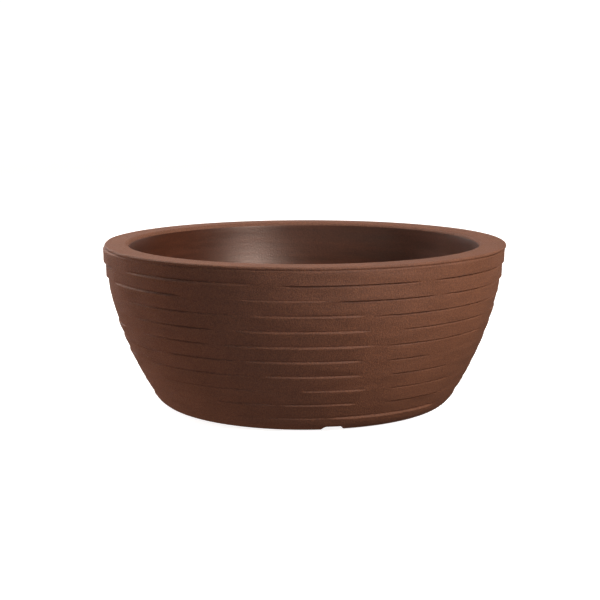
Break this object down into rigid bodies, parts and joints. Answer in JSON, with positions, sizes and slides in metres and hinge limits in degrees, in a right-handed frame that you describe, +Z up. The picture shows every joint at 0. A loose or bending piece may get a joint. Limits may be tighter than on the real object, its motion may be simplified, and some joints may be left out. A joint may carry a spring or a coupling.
{
  "type": "bonsai pot",
  "caption": "Round wide bonsai bowl with a hollow double wall, a broad flat rim, stacked irregular ledges, push-in drain plugs and mesh drain screens.",
  "frame": {"origin": "on the bowl's axis, in the plane that the foot stands on", "axes": "+Z up along the bowl's axis, -Y to the front, +X to the right seen from the front"},
  "size_m": [0.4004, 0.4004, 0.1623],
  "materials": {
    "pot_plastic": "sandy matt outside and rim, smooth satin inside",
    "vent_plastic": "satin moulded",
    "plug_rubber": "soft matt",
    "screen_plastic": "satin moulded mesh"
  },
  "bodies": {
    "pot": {"pot_shell": "pot_plastic", "vent_plug": "vent_plastic"},
    "drain_plug_1": {"drain_plug_1": "plug_rubber"},
    "drain_plug_2": {"drain_plug_2": "plug_rubber"},
    "drain_plug_3": {"drain_plug_3": "plug_rubber"},
    "drain_screen_1": {"drain_screen_1": "screen_plastic"},
    "drain_screen_2": {"drain_screen_2": "screen_plastic"},
    "drain_screen_3": {"drain_screen_3": "screen_plastic"}
  },
  "joints": [
    {"name": "drain_plug_1_pull", "type": "slide", "parent": "pot", "child": "drain_plug_1", "axis": [0, 0, -1], "range_m": [0, 0.04]},
    {"name": "drain_plug_2_pull", "type": "slide", "parent": "pot", "child": "drain_plug_2", "axis": [0, 0, -1], "range_m": [0, 0.04]},
    {"name": "drain_plug_3_pull", "type": "slide", "parent": "pot", "child": "drain_plug_3", "axis": [0, 0, -1], "range_m": [0, 0.04]},
    {"name": "drain_screen_1_lift", "type": "slide", "parent": "pot", "child": "drain_screen_1", "axis": [0, 0, 1], "range_m": [0, 0.2]},
    {"name": "drain_screen_2_lift", "type": "slide", "parent": "pot", "child": "drain_screen_2", "axis": [0, 0, 1], "range_m": [0, 0.2]},
    {"name": "drain_screen_3_lift", "type": "slide", "parent": "pot", "child": "drain_screen_3", "axis": [0, 0, 1], "range_m": [0, 0.2]}
  ]
}
